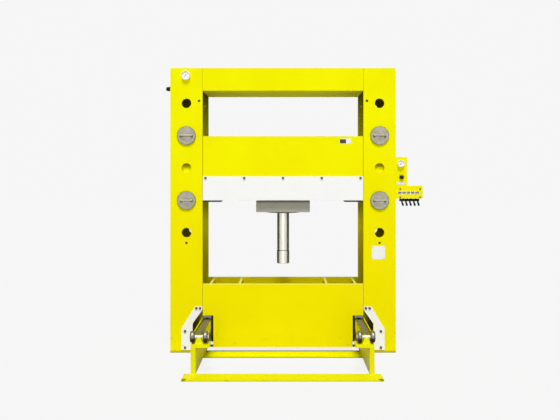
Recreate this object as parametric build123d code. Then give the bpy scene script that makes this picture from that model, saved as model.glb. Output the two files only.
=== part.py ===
from build123d import *
import math
import os

# A two-column hydraulic press with a moving workhead and a roll-out table.
# Millimetres, X to the right, front towards -Y, Z up.
# The origin lies on the floor, midway between the columns and midway from front to rear.

# Frame
daylight_width = 1706.0
upright_width = 342.0
frame_depth = 610.0
frame_height = 3018.0
frame_plate = 30.0
side_plate = 25.0
crosshead_height = 240.0
crosshead_wall = 25.0
rear_tie_height = 400.0
sole_tie_width = 60.0
top_plate = 20.0
floor_plate = 12.0

# Pins and pin holes
pin_diameter = 100.0
pin_hole_clearance = 2.0
pin_pitch = 343.0
pin_levels = 5
lowest_pin_height = 1272.0
pin_head_diameter = 198.0
pin_head_thickness = 16.0
pin_tail = 20.0
pin_handle_length = 132.0
pin_handle_diameter = 16.0
pin_handle_standoff = 26.0
pin_point_chamfer = 5.0
pin_head_chamfer = 3.0
lift_hole_diameter = 27.0
lift_hole_inset = 37.0
lift_hole_above_pin = 26.0
lift_hole_blind_depth = 20.0
lock_hole_below_pin = 109.0

# Bolster
bolster_web = 25.0
bolster_end_plate = 25.0
bolster_lip_below = 51.0
bolster_lip_above = 45.0
slide_flange_width = 66.0
slide_flange_thickness = 40.0
cover_height = 254.0
cover_thickness = 8.0
travel_stop_length = 207.0
travel_stop_height = 17.0
travel_stop_depth = 70.0
travel_stop_slant = 14.0

# Workhead and ram
workhead_width = 573.0
workhead_depth = 500.0
workhead_height = 122.0
workhead_corner = 6.0
barrel_diameter = 320.0
cylinder_bore = 230.0
barrel_cap = 60.0
barrel_ledge = 12.0
barrel_chamfer = 8.0
inlet_boss_diameter = 60.0
inlet_boss_height = 25.0
inlet_bore = 24.0
carriage_width = 440.0
carriage_thickness = 45.0
gland_diameter = 356.0
gland_flange = 12.0
gland_spigot = 60.0
gland_chamfer = 3.0
ram_diameter = 130.0
ram_stroke = 406.0
nose_diameter = 136.0
nose_length = 140.0
nose_gap = 6.0
nose_neck_diameter = 118.0
nose_spigot_diameter = 80.0
nose_spigot_length = 70.0
nose_chamfer = 4.0
ram_below_gland_up = 13.0
piston_height = 90.0
piston_bore = 80.0
piston_end_room = 5.0
ring_groove_width = 8.0
ring_groove_depth = 6.0
ring_groove_shares = (0.3, 0.7)

# Table
table_depth = 570.0
table_top = 730.0
table_underside = 59.0
table_plate = 25.0
notch_width = 110.0
cross_plate = 25.0
cross_plate_drop = 12.0
outer_cross_inset = 75.0
inner_cross_inset = 386.0
guide_plate = 20.0
guide_drop = 277.0
runner_thickness = 25.0
runner_cap = 15.0
runner_drop = 12.0
runner_set_back = 2.0
wheel_diameter = 40.0
wheel_width = 32.0
wheel_bevel = 2.0
wheel_pin_diameter = 12.0
wheel_inset = 60.0

# Rails, foot bar and end rollers
rail_reach = 904.0
rail_top_height = 350.0
rail_top_plate = 28.0
rail_web = 46.0
rail_skirt = 20.0
rail_skirt_depth = 120.0
rail_lip_width = 8.0
rail_lip_height = 14.0
rail_overhang = 8.0
stop_lug_height = 24.0
stop_lug_thickness = 20.0
stop_lug_width = 40.0
stop_lug_overhang = 14.0
foot_bar_width = 220.0
foot_bar_overhang = 63.0
foot_bar_overlap = 23.0
floor_tie_width = 275.0
floor_tie_forward = 224.0
anchor_hole = 22.0
anchor_inset = 22.0
end_plate_length = 150.0
end_plate_width = 175.0
end_plate_height = 287.0
end_plate_thickness = 28.0
end_wheel_diameter = 112.0
end_wheel_lift = 7.0
end_wheel_width = 42.0
end_wheel_taper = 9.0
end_wheel_spacing = 122.0
end_wheel_outer_inset = 11.0
end_axle_diameter = 28.0
end_axle_collar = 40.0
end_axle_collar_width = 5.0
end_wheel_setback = 66.0
axle_seat_drop = 8.0
roller_bracket_top = 40.0
roller_bracket_base = 76.0
roller_bracket_thickness = 44.0

# Toe plates over the cut-outs at the foot of the uprights
cutout_depth = 105.0
cutout_top = 458.0
cutout_knee = 307.0
toe_band = 118.0
toe_top_band = 32.0
toe_foot = 31.0
toe_top_outer = 80.0
toe_knee_outer = 257.0
toe_thickness = 8.0

# Bolts shared by the cover, toe plates and control panel
bolt_size = 16.0
bolt_head_width = 24.0
bolt_head_height = 9.0
bolt_grip = 26.0
bolt_inset = 28.0
toe_bolt_offsets = (25.0, 64.0)
toe_leg_bolt_inset = 39.0
toe_leg_bolt_rise = 25.0
cover_bolt_drop = 17.0

# Gauges
small_gauge = 74.0
large_gauge = 95.0
gauge_depth = 28.0
gauge_rim = 5.0
gauge_edge = 2.0
gauge_recess = 10.0
gauge_dial = 2.0
needle_lift = 1.0
needle_zero = 135.0
needle_width = 3.2
needle_tip = 1.0
needle_thickness = 1.2
needle_end_room = 4.0
needle_tail_share = 0.35
needle_hub_height = 2.5
needle_hub_share = 0.1
frame_gauge_drop = 80.0
frame_gauge_offset = 7.0
panel_gauge_inset = 52.0
panel_gauge_drop = 69.0

# Control panel and valves
panel_thickness = 6.0
panel_upper_width = 121.0
panel_lower_width = 287.0
panel_top = 2074.0
panel_step = 1771.0
panel_bottom = 1634.0
panel_corner = 16.0
panel_corner_limit = 0.45
panel_fold_depth = 62.0
panel_bolt_left = 48.0
panel_bolt_drop = 36.0
panel_bolt_rise = 14.0
panel_bolt_size = 8.0
panel_bolt_head = 16.0
panel_bolt_head_height = 5.6
lever_count = 5
lever_pitch = 42.0
first_lever = 65.0
lever_rod = 13.0
lever_length = 56.0
lever_slant = 18.0
lever_grip = 22.0
lever_boss = 26.0
lever_pin = 8.0
lever_side_play = 1.0
lever_pivot_drop = 16.0
lever_pivot_set_back = 29.0
fork_thickness = 6.0
fork_half_depth = 14.0
fork_below_pivot = 13.0
valve_above_boss = 8.0
valve_depth = 110.0
valve_height = 84.0
valve_seam_width = 2.0
valve_seam_depth = 4.0
knob_diameter = 46.0
knob_length = 26.0
knob_spindle = 12.0
knob_spindle_end = 14.0
knob_edge = 3.0
knob_flutes = 12
knob_flute_diameter = 5.0
knob_inset = 61.0
knob_drop = 212.0

# Blank plates
plate_skin = 1.5
bolster_tag = (125.0, 53.0)
bolster_tag_edge = (127.0, 28.0)
upright_tag = (138.0, 143.0)
upright_tag_rise = 988.0
upright_tag_shift = -12.0
strip_tag = (238.0, 30.0)
strip_tag_edge = (16.0, 48.0)
small_tag = (80.0, 32.0)
small_tag_edge = (13.0, 12.0)

# Fitting on the side of the left upright
fitting_length = 50.0
fitting_flange = 64.0
fitting_root = 52.0
fitting_tip = 36.0
fitting_flange_thickness = 6.0
fitting_set_back = 60.0
fitting_rise = 24.0

# Running clearances
side_gap = 4.0
pin_gap = 0.5
slide_gap = 0.3
ram_gap = 0.1
tread_gap = 0.3
bush_gap = 0.1
wheel_head_room = 4.7
knob_gap = 1.0
spindle_hole_clearance = 2.0
wheel_side_gap = 2.0
workhead_gap = 6.0

# Positions worked out from the sizes above
half_daylight = daylight_width / 2
frame_edge = half_daylight + upright_width
front = -frame_depth / 2
rear = frame_depth / 2
pin_x = half_daylight + upright_width / 2
pin_heights = [lowest_pin_height + pin_pitch * i for i in range(pin_levels)]
lower_pin = pin_heights[1]
upper_pin = pin_heights[3]
pin_hole = pin_diameter + pin_hole_clearance
crosshead_bottom = frame_height - crosshead_height

beam_bottom = lower_pin + pin_diameter / 2 + pin_gap
beam_top = upper_pin - pin_diameter / 2 - pin_gap
beam_front = front + frame_plate + side_gap
beam_end = frame_edge - side_plate - side_gap
bolster_half = half_daylight - side_gap
bolster_bottom = beam_bottom - bolster_lip_below
bolster_top = beam_top + bolster_lip_above
flange_top = beam_bottom + slide_flange_thickness
web_inner = beam_front + bolster_web

workhead_top = bolster_bottom - workhead_gap
workhead_bottom = workhead_top - workhead_height
gland_bottom = workhead_bottom - gland_flange
gland_top = workhead_bottom + barrel_ledge + gland_spigot
piston_bottom = gland_top + piston_end_room
piston_top = piston_bottom + piston_height
bore_top = piston_top + ram_stroke + piston_end_room
barrel_top = bore_top + barrel_cap
nose_top = gland_bottom - ram_below_gland_up - ram_stroke
nose_bottom = nose_top - nose_length

table_front = front
table_rear = front + table_depth
table_half = half_daylight - side_gap
notch_inner = table_half - notch_width

rail_front = front - rail_reach
rail_rear = rear - frame_plate
rail_outer = half_daylight + rail_overhang
rail_inner = notch_inner + guide_plate + side_gap
rail_under = rail_top_height - rail_top_plate
rail_plate_end = rail_front + end_plate_length
lip_inner = rail_outer - rail_lip_width
wheel_x = (notch_inner + guide_plate + table_half) / 2
wheel_axis = rail_top_height + tread_gap + wheel_diameter / 2
notch_top = wheel_axis + wheel_diameter / 2 + wheel_head_room
runner_bottom = notch_top - runner_thickness
wheel_places = [table_front + wheel_inset, table_rear - wheel_inset]

end_wheel_axis = end_plate_height + end_wheel_lift + end_wheel_diameter / 2
end_wheel_y = rail_front + end_wheel_setback
end_outer_x = rail_outer - end_wheel_outer_inset
end_inner_x = end_outer_x - end_wheel_spacing
end_middle_x = (end_outer_x + end_inner_x) / 2

cutout_x = half_daylight + cutout_depth
panel_left = frame_edge
lever_x = [panel_left + first_lever + lever_pitch * i for i in range(lever_count)]
lever_pivot_z = panel_bottom - lever_pivot_drop
lever_pivot_y = front + panel_thickness + lever_pivot_set_back


def block(x0, x1, y0, y1, z0, z1):
    """A plate or bar between two opposite corners."""
    centre = Pos((x0 + x1) / 2, (y0 + y1) / 2, (z0 + z1) / 2)
    return centre * Box(abs(x1 - x0), abs(y1 - y0), abs(z1 - z0))


def rod_x(x0, x1, y, z, diameter):
    """A round bar along X."""
    return Pos((x0 + x1) / 2, y, z) * Rot(0, 90, 0) * Cylinder(diameter / 2, abs(x1 - x0))


def rod_y(y0, y1, x, z, diameter):
    """A round bar along Y."""
    return Pos(x, (y0 + y1) / 2, z) * Rot(90, 0, 0) * Cylinder(diameter / 2, abs(y1 - y0))


def rod_z(z0, z1, diameter, x=0.0, y=0.0):
    """A round bar along Z."""
    return Pos(x, y, (z0 + z1) / 2) * Cylinder(diameter / 2, abs(z1 - z0))


def plate_xz(points, y0, y1):
    """A flat plate cut to an outline in X and Z, from y0 back to y1."""
    face = Plane(origin=(0, y0, 0), x_dir=(1, 0, 0), z_dir=(0, 1, 0))
    flipped = [(x, -z) for x, z in points]
    outline = Polyline(*flipped, close=True)
    return extrude(face * make_face(outline), amount=y1 - y0)


def mirrored(shape):
    """The same piece on the other side of the press."""
    return mirror(shape, about=Plane.YZ)


def both_sides(shape):
    """A left and a right copy as two separate solids."""
    return [mirrored(shape), shape]


def save(name, *solids):
    """Write one node, which may hold several separate solids."""
    parts = []
    for item in solids:
        parts.extend(item.solids())
    shape = parts[0] if len(parts) == 1 else Compound(children=parts)
    export_step(shape, f"parts/{name}.step")


def save_pair(name, *right):
    """Write the left and the right piece, or group of pieces, as nodes of their own."""
    save(f"left_{name}", *[mirrored(item) for item in right])
    save(f"right_{name}", *right)


def bolt(x, z, y):
    """A hexagon bolt, its head seated on a face that looks to the front."""
    head = extrude(Plane.XZ * RegularPolygon(bolt_head_width / 2, 6, major_radius=False), bolt_head_height)
    return Pos(x, y, z) * head + rod_y(y, y + bolt_grip, x, z, bolt_size)


def bolt_hole(x, z, y):
    """The clearance hole that takes a bolt."""
    return rod_y(y - 1, y + bolt_grip + 1, x, z, bolt_size + 1)


def toe_bolt_places():
    """Two bolts in the top band of a toe plate and two in its leg."""
    top_z = cutout_top + toe_top_band / 2
    leg_x = cutout_x + toe_band - toe_leg_bolt_inset
    places = [(half_daylight + offset, top_z) for offset in toe_bolt_offsets]
    return places + [(leg_x, toe_knee_outer - bolt_inset), (leg_x, toe_foot + toe_leg_bolt_rise)]


def cover_bolt_places():
    """Five bolts along the top edge of the cover plate."""
    reach = bolster_half - bolt_inset
    height = bolster_bottom + cover_height - cover_bolt_drop
    return [(reach * k / 2, height) for k in (-2, -1, 0, 1, 2)]


def panel_bolt_places():
    """Four bolts in the lower part of the control panel."""
    left = panel_left + panel_bolt_left
    right = panel_left + panel_lower_width - bolt_inset
    top = panel_step - panel_bolt_drop
    low = panel_bottom + panel_bolt_rise
    return [(left, top), (right, top), (left, low), (right, low)]


def upright_front_plate():
    """The right front plate, with pin holes and the cut-out that clears the rail."""
    outline = [
        (half_daylight, frame_height),
        (frame_edge, frame_height),
        (frame_edge, 0),
        (cutout_x, 0),
        (cutout_x, cutout_knee),
        (half_daylight, cutout_top),
    ]
    plate = plate_xz(outline, front, front + frame_plate)
    plate -= pin_hole_row(front - 1, front + frame_plate + 1)
    plate -= lift_hole(front - 1, front + frame_plate + 1)
    for x, z in toe_bolt_places():
        plate -= bolt_hole(x, z, front)
    return plate


def pin_hole_row(y0, y1):
    """Cutters for the pin holes and for the small hole below them."""
    cutters = [rod_y(y0, y1, pin_x, z, pin_hole) for z in pin_heights]
    cutters.append(rod_y(y0, y1, pin_x, pin_heights[0] - lock_hole_below_pin, lift_hole_diameter))
    return cutters


def lift_hole(y0, y1):
    """Cutter for the small hole beside the highest pin hole."""
    x = half_daylight + lift_hole_inset
    return rod_y(y0, y1, x, pin_heights[-1] + lift_hole_above_pin, lift_hole_diameter)


def upright_rear_plate():
    """The right rear plate, straight down to the floor, its lift hole blind from the inside."""
    inside = rear - frame_plate
    plate = block(half_daylight, frame_edge, inside, rear, 0, frame_height)
    plate -= pin_hole_row(inside - 1, rear + 1)
    return plate - lift_hole(inside - 1, inside + lift_hole_blind_depth)


def upright_side_plate():
    """The outer plate that closes the channel of the right upright."""
    inner = frame_edge - side_plate
    return block(inner, frame_edge, front + frame_plate, rear - frame_plate, 0, frame_height)


def upright_top_plate():
    """The plate that closes the top of the right upright."""
    outer = frame_edge - side_plate
    low = frame_height - top_plate
    return block(half_daylight, outer, front + frame_plate, rear - frame_plate, low, frame_height)


def crosshead():
    """The fixed top beam, a welded box that is open at its ends."""
    outer = block(-half_daylight, half_daylight, front, rear, crosshead_bottom, frame_height)
    wall = crosshead_wall
    inner = block(
        -half_daylight - 1, half_daylight + 1, front + wall, rear - wall,
        crosshead_bottom + wall, frame_height - wall,
    )
    return outer - inner


def rear_tie():
    """The plate on edge between the feet of the rear plates, behind the table."""
    return block(-half_daylight, half_daylight, rear - frame_plate, rear, 0, rear_tie_height)


def bolster_face_outline():
    """Outline of the bolster's front and rear plates."""
    return (-bolster_half, bolster_half, bolster_bottom, bolster_top)


def bolster_front_plate():
    """The wide front plate of the bolster."""
    x0, x1, z0, z1 = bolster_face_outline()
    plate = block(x0, x1, front, beam_front, z0, z1)
    for x, z in cover_bolt_places():
        plate -= bolt_hole(x, z, front)
    return plate


def bolster_rear_plate():
    """The wide rear plate of the bolster."""
    x0, x1, z0, z1 = bolster_face_outline()
    return block(x0, x1, -beam_front, rear, z0, z1)


def bolster_beam():
    """The front beam, whose ends lie between the pins and whose flange carries the workhead."""
    web = block(-beam_end, beam_end, beam_front, web_inner, beam_bottom, beam_top)
    flange_inner = web_inner + slide_flange_width
    flange = block(-bolster_half, bolster_half, web_inner, flange_inner, beam_bottom, flange_top)
    return web + flange


def bolster_end_plate_right():
    """The plate that joins both beams at the end inside the upright."""
    return block(beam_end - bolster_end_plate, beam_end, web_inner, -web_inner, beam_bottom, beam_top)


def cover_plate():
    """The cover bolted over the lower half of the bolster's front."""
    top = bolster_bottom + cover_height
    plate = block(-bolster_half, bolster_half, front - cover_thickness, front, bolster_bottom, top)
    for x, z in cover_bolt_places():
        plate -= bolt_hole(x, z, front - cover_thickness)
    return plate


def travel_stop():
    """The right stop under the bolster, with a slanted inner end."""
    inner = bolster_half - travel_stop_length
    low = bolster_bottom - travel_stop_height
    outline = [
        (inner, bolster_bottom),
        (bolster_half, bolster_bottom),
        (bolster_half, low),
        (inner + travel_stop_slant, low),
    ]
    return plate_xz(outline, front, front + travel_stop_depth)


def bolster_pin(level):
    """A pin pushed in from the front, with a round head and a bar handle."""
    z = pin_heights[level]
    head_front = front - pin_head_thickness
    shaft = rod_y(front, rear + pin_tail, pin_x, z, pin_diameter)
    shaft = chamfer(shaft.edges().sort_by(Axis.Y)[-1], pin_point_chamfer)
    head = rod_y(head_front, front, pin_x, z, pin_head_diameter)
    head = chamfer(head.edges().sort_by(Axis.Y)[0], pin_head_chamfer)
    handle_y = head_front - pin_handle_standoff
    reach = pin_handle_length / 2
    bar = rod_x(pin_x - reach, pin_x + reach, handle_y, z, pin_handle_diameter)
    leg_x = reach - pin_handle_diameter / 2
    legs = [rod_y(handle_y, head_front, pin_x + s * leg_x, z, pin_handle_diameter) for s in (-1, 1)]
    return shaft + head + bar + legs


def workhead_block():
    """The block that carries the cylinder, with a ledge under the barrel."""
    half = workhead_width / 2
    deep = workhead_depth / 2
    body = block(-half, half, -deep, deep, workhead_bottom, workhead_top)
    body = chamfer(body.edges().filter_by(Axis.Z), workhead_corner)
    body -= rod_z(workhead_bottom + barrel_ledge, workhead_top + 1, barrel_diameter)
    return body - rod_z(workhead_bottom - 1, workhead_top, cylinder_bore)


def cylinder_barrel():
    """The cylinder barrel with its closed top and an inlet boss."""
    barrel = rod_z(workhead_bottom + barrel_ledge, barrel_top, barrel_diameter)
    barrel = chamfer(barrel.edges().sort_by(Axis.Z)[-1], barrel_chamfer)
    barrel -= rod_z(workhead_bottom, bore_top, cylinder_bore)
    barrel += rod_z(barrel_top, barrel_top + inlet_boss_height, inlet_boss_diameter)
    return barrel - rod_z(bore_top - 1, barrel_top + inlet_boss_height + 1, inlet_bore)


def carriage_plate():
    """The plate round the barrel that slides on the bolster's flanges."""
    half = carriage_width / 2
    deep = -web_inner - side_gap
    low = flange_top + slide_gap
    plate = block(-half, half, -deep, deep, low, low + carriage_thickness)
    return plate - rod_z(low - 1, low + carriage_thickness + 1, barrel_diameter)


def gland_ring():
    """The turned gland that guides the ram and closes the cylinder."""
    ring = rod_z(gland_bottom, workhead_bottom, gland_diameter)
    ring = chamfer(ring.edges().sort_by(Axis.Z)[0], gland_chamfer)
    ring += rod_z(workhead_bottom, gland_top, cylinder_bore)
    return ring - rod_z(gland_bottom - 1, gland_top + 1, ram_diameter + 2 * ram_gap)


def ram_rod():
    """The ram, with a spigot for the piston above and a necked spigot for the nose below."""
    rod = rod_z(nose_top + nose_gap, piston_bottom, ram_diameter)
    rod += rod_z(piston_bottom, piston_top, piston_bore)
    rod += rod_z(nose_top, nose_top + nose_gap, nose_neck_diameter)
    return rod + rod_z(nose_top - nose_spigot_length, nose_top, nose_spigot_diameter)


def piston():
    """The piston head on the ram's upper spigot, with two ring grooves."""
    head = rod_z(piston_bottom, piston_top, cylinder_bore - 2 * ram_gap)
    for share in ring_groove_shares:
        z = piston_bottom + piston_height * share
        low = z - ring_groove_width / 2
        high = z + ring_groove_width / 2
        floor_diameter = cylinder_bore - 2 * ring_groove_depth
        head -= rod_z(low, high, cylinder_bore + 2) - rod_z(low, high, floor_diameter)
    return head - rod_z(piston_bottom - 1, piston_top + 1, piston_bore)


def ram_nose():
    """The loose nose on the end of the ram."""
    nose = rod_z(nose_bottom, nose_top, nose_diameter)
    nose = chamfer(nose.edges().group_by(Axis.Z)[0], nose_chamfer)
    return nose - rod_z(nose_top - nose_spigot_length, nose_top + 1, nose_spigot_diameter)


def table_face(y0, y1):
    """A long table plate with a notch at each lower corner for the rails."""
    outline = [
        (-table_half, table_top),
        (table_half, table_top),
        (table_half, notch_top),
        (notch_inner, notch_top),
        (notch_inner, table_underside),
        (-notch_inner, table_underside),
        (-notch_inner, notch_top),
        (-table_half, notch_top),
    ]
    return plate_xz(outline, y0, y1)


def table_cross_plates():
    """Two outer and two inner plates between the table's front and rear."""
    y0 = table_front + table_plate
    y1 = table_rear - table_plate
    top = table_top - cross_plate_drop
    outer_x = half_daylight - outer_cross_inset
    inner_x = half_daylight - inner_cross_inset
    half = cross_plate / 2
    outer = block(outer_x - half, outer_x + half, y0, y1, notch_top, top)
    inner = block(inner_x - half, inner_x + half, y0, y1, table_underside, top)
    return both_sides(outer) + both_sides(inner)


def table_guide_plate():
    """The plate down the inner side of the right notch that keeps the table on its rail."""
    low = notch_top - guide_drop
    return block(notch_inner, notch_inner + guide_plate, table_front, table_rear, low, notch_top)


def table_runner():
    """The runner under the right notch, two bars and two end caps round its wheels."""
    inner = notch_inner + guide_plate
    y0 = table_front + runner_set_back
    y1 = table_rear - runner_set_back
    room = wheel_width / 2 + wheel_side_gap
    low = runner_bottom - runner_drop
    front_cap = block(inner, table_half, y0, y0 + runner_cap, runner_bottom, notch_top)
    rear_cap = block(inner, table_half, y1 - runner_cap, y1, runner_bottom, notch_top)
    bars = []
    for x0, x1 in ((inner, wheel_x - room), (wheel_x + room, table_half)):
        bar = block(x0, x1, y0 + runner_cap, y1 - runner_cap, low, notch_top)
        for y in wheel_places:
            bar -= rod_x(x0 - 1, x1 + 1, y, wheel_axis, wheel_pin_diameter)
        bars.append(bar)
    return [front_cap, rear_cap] + bars


def turned_about_x(profile):
    """A solid turned about the X axis from a closed profile of (x, radius) points."""
    face = make_face(Polyline(*profile, close=True))
    return revolve(face, axis=Axis.X)


def table_wheel(y):
    """A plain wheel with bevelled rims and a bored hub."""
    half = wheel_width / 2
    radius = wheel_diameter / 2
    rim = radius - wheel_bevel
    flat = half - wheel_bevel
    profile = [(-half, 0), (-half, rim), (-flat, radius), (flat, radius), (half, rim), (half, 0)]
    body = Pos(wheel_x, y, wheel_axis) * turned_about_x(profile)
    bore = wheel_pin_diameter + 2 * bush_gap
    return body - rod_x(wheel_x - half - 1, wheel_x + half + 1, y, wheel_axis, bore)


def table_wheel_pins():
    """The four pins that the table's wheels turn on, held in the runner's bars."""
    inner = notch_inner + guide_plate
    pins = []
    for y in wheel_places:
        pins.extend(both_sides(rod_x(inner, table_half, y, wheel_axis, wheel_pin_diameter)))
    return pins


def rail():
    """The welded plates of the right rail: top, inner skirt, outer web, lip and end stop."""
    y0 = rail_plate_end
    y1 = rail_rear
    top = rail_top_height
    lug_rear = y0 + stop_lug_thickness
    lug_outer = rail_outer + stop_lug_overhang
    low_top = end_plate_height - end_plate_thickness
    web = block(rail_outer - rail_web, rail_outer, y0, y1, floor_plate, rail_under)
    web += block(rail_outer - rail_web, rail_outer, rail_front, y0, floor_plate, low_top)
    return [
        block(rail_inner, rail_outer, y0, y1, rail_under, top),
        block(rail_inner, rail_inner + rail_skirt, y0, y1, top - rail_skirt_depth, rail_under),
        web,
        block(lip_inner, rail_outer, lug_rear, y1, top, top + rail_lip_height),
        block(lug_outer - stop_lug_width, lug_outer, y0, lug_rear, top, top + stop_lug_height),
    ]


def roller_bracket():
    """The end plate in front of the rail, the tapered bracket on it and the axle in the bracket's seat."""
    inner = rail_outer - end_plate_width
    low = end_plate_height - end_plate_thickness
    plate = block(inner, rail_outer, rail_front, rail_plate_end, low, end_plate_height)
    top_z = end_wheel_axis - axle_seat_drop
    base = roller_bracket_base / 2
    tip = roller_bracket_top / 2
    outline = [
        (end_middle_x - base, end_plate_height),
        (end_middle_x + base, end_plate_height),
        (end_middle_x + tip, top_z),
        (end_middle_x - tip, top_z),
    ]
    half = roller_bracket_thickness / 2
    foot = plate_xz(outline, end_wheel_y - half, end_wheel_y + half)
    foot -= rod_x(end_inner_x, end_outer_x, end_wheel_y, end_wheel_axis, end_axle_diameter)
    return plate, foot, end_axle()


def end_axle():
    """The fixed axle of one pair of end rollers, with a collar outside each wheel."""
    reach = end_wheel_width / 2 + wheel_side_gap
    x0 = end_inner_x - reach
    x1 = end_outer_x + reach
    axle = rod_x(x0, x1, end_wheel_y, end_wheel_axis, end_axle_diameter)
    axle += rod_x(x0 - end_axle_collar_width, x0, end_wheel_y, end_wheel_axis, end_axle_collar)
    return axle + rod_x(x1, x1 + end_axle_collar_width, end_wheel_y, end_wheel_axis, end_axle_collar)


def end_roller(x):
    """A barrel-shaped wheel that turns on the fixed axle."""
    half = end_wheel_width / 2
    radius = end_wheel_diameter / 2
    shoulder = radius - end_wheel_taper
    step = radius - end_wheel_taper / 3
    profile = [
        (-half, 0), (-half, shoulder), (-half * 0.7, step), (-half * 0.3, radius),
        (half * 0.3, radius), (half * 0.7, step), (half, shoulder), (half, 0),
    ]
    wheel = Pos(x, end_wheel_y, end_wheel_axis) * turned_about_x(profile)
    bore = end_axle_diameter + 2 * bush_gap
    return wheel - rod_x(x - half - 1, x + half + 1, end_wheel_y, end_wheel_axis, bore)


def foot_bar():
    """The flat bar on the floor under the front ends of the rails, with anchor holes."""
    reach = rail_outer + foot_bar_overhang
    y1 = rail_front + foot_bar_overlap
    y0 = y1 - foot_bar_width
    bar = block(-reach, reach, y0, y1, 0, floor_plate)
    for x in (-reach + anchor_inset, reach - anchor_inset):
        bar -= rod_z(-1, floor_plate + 1, anchor_hole, x, y0 + anchor_inset)
    return bar


def floor_ties():
    """The flat plate between the rails in front of the table, and the narrow one between the uprights."""
    y0 = front - floor_tie_forward
    reach = frame_edge - side_plate
    half = sole_tie_width / 2
    return [
        block(-rail_outer, rail_outer, y0, y0 + floor_tie_width, 0, floor_plate),
        block(-reach, reach, -half, half, 0, floor_plate),
    ]


def toe_plate():
    """The plate round the right cut-out, a top band, a slanted band and a leg."""
    outline = [
        (half_daylight, cutout_top + toe_top_band),
        (half_daylight + toe_top_outer, cutout_top + toe_top_band),
        (cutout_x + toe_band, toe_knee_outer),
        (cutout_x + toe_band, toe_foot),
        (cutout_x, toe_foot),
        (cutout_x, cutout_knee),
        (half_daylight, cutout_top),
    ]
    plate = plate_xz(outline, front - toe_thickness, front)
    for x, z in toe_bolt_places():
        plate -= bolt_hole(x, z, front - toe_thickness)
    return plate


def gauge_places():
    """Centre, face and diameter of the left frame gauge and the right panel gauge."""
    return [
        (-pin_x - frame_gauge_offset, frame_height - frame_gauge_drop, front, large_gauge),
        (panel_left + panel_gauge_inset, panel_top - panel_gauge_drop, front, small_gauge),
    ]


def gauge_dial_face(y):
    """The front of the dial in a gauge that stands on a face at y."""
    return y - gauge_depth + gauge_recess - gauge_dial


def gauge_case(x, z, y, size):
    """A round gauge case with a raised rim."""
    case = rod_y(y - gauge_depth, y, x, z, size)
    case = chamfer(case.edges().sort_by(Axis.Y)[0], gauge_edge)
    return case - rod_y(y - gauge_depth - 1, y - gauge_depth + gauge_recess, x, z, size - 2 * gauge_rim)


def gauge_dial_disc(x, z, y, size):
    """The flat dial at the bottom of the case's recess."""
    face = gauge_dial_face(y)
    return rod_y(face, face + gauge_dial, x, z, size - 2 * gauge_rim)


def gauge_needle(x, z, y, size):
    """A tapered needle on a small hub, clear of the dial and resting at zero, low on the left."""
    face = gauge_dial_face(y) - needle_lift
    long = size / 2 - gauge_rim - needle_end_room
    tail = -long * needle_tail_share
    wide = needle_width / 2
    thin = needle_tip / 2
    outline = [(-wide, tail), (wide, tail), (thin, long), (-thin, long)]
    needle = plate_xz(outline, face - needle_thickness, face)
    needle += rod_y(face - needle_hub_height, face, 0, 0, size * needle_hub_share)
    return Pos(x, 0, z) * Rot(0, -needle_zero, 0) * needle


def control_panel():
    """The stepped panel beside the right upright, folded back where it meets the side plate."""
    x0 = panel_left
    x1 = x0 + panel_upper_width
    x2 = x0 + panel_lower_width
    outline = [
        (x0, panel_top), (x1, panel_top), (x1, panel_step),
        (x2, panel_step), (x2, panel_bottom), (x0, panel_bottom),
    ]
    plate = plate_xz(outline, front, front + panel_thickness)
    corners = [e for e in plate.edges().filter_by(Axis.Y) if e.center().X > x0 + 1]
    outer = [e for e in corners if not (abs(e.center().X - x1) < 1 and abs(e.center().Z - panel_step) < 1)]
    plate = fillet(outer, min(panel_corner, (panel_step - panel_bottom) * panel_corner_limit))
    fold_front = front + panel_thickness
    fold_rear = fold_front + panel_fold_depth
    plate += block(x0, x0 + panel_thickness, fold_front, fold_rear, panel_bottom, panel_top)
    knob_x, knob_z = knob_place()
    plate -= rod_y(front - 1, front + panel_thickness + 1, knob_x, knob_z, knob_spindle + spindle_hole_clearance)
    for x, z in panel_bolt_places():
        plate -= rod_y(front - 1, front + panel_thickness + 1, x, z, panel_bolt_size + 1)
    return plate


def panel_bolt(x, z):
    """A smaller bolt through the panel."""
    head = Plane.XZ * RegularPolygon(panel_bolt_head / 2, 6, major_radius=False)
    head = Pos(x, front, z) * extrude(head, panel_bolt_head_height)
    return head + rod_y(front, front + panel_thickness, x, z, panel_bolt_size)


def knob_place():
    """Centre of the pressure knob on the panel."""
    return panel_left + knob_inset, panel_top - knob_drop


def pressure_knob():
    """A fluted knob on a short spindle through the panel."""
    x, z = knob_place()
    body = rod_y(front - knob_gap - knob_length, front - knob_gap, x, z, knob_diameter)
    body = chamfer(body.edges().sort_by(Axis.Y)[0], knob_edge)
    for i in range(knob_flutes):
        angle = math.radians(360 / knob_flutes * i)
        fx = x + math.cos(angle) * knob_diameter / 2
        fz = z + math.sin(angle) * knob_diameter / 2
        body -= rod_y(front - knob_length - 2 * knob_gap, front, fx, fz, knob_flute_diameter)
    return body + rod_y(front - knob_gap, front + panel_thickness + knob_spindle_end, x, z, knob_spindle)


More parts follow.
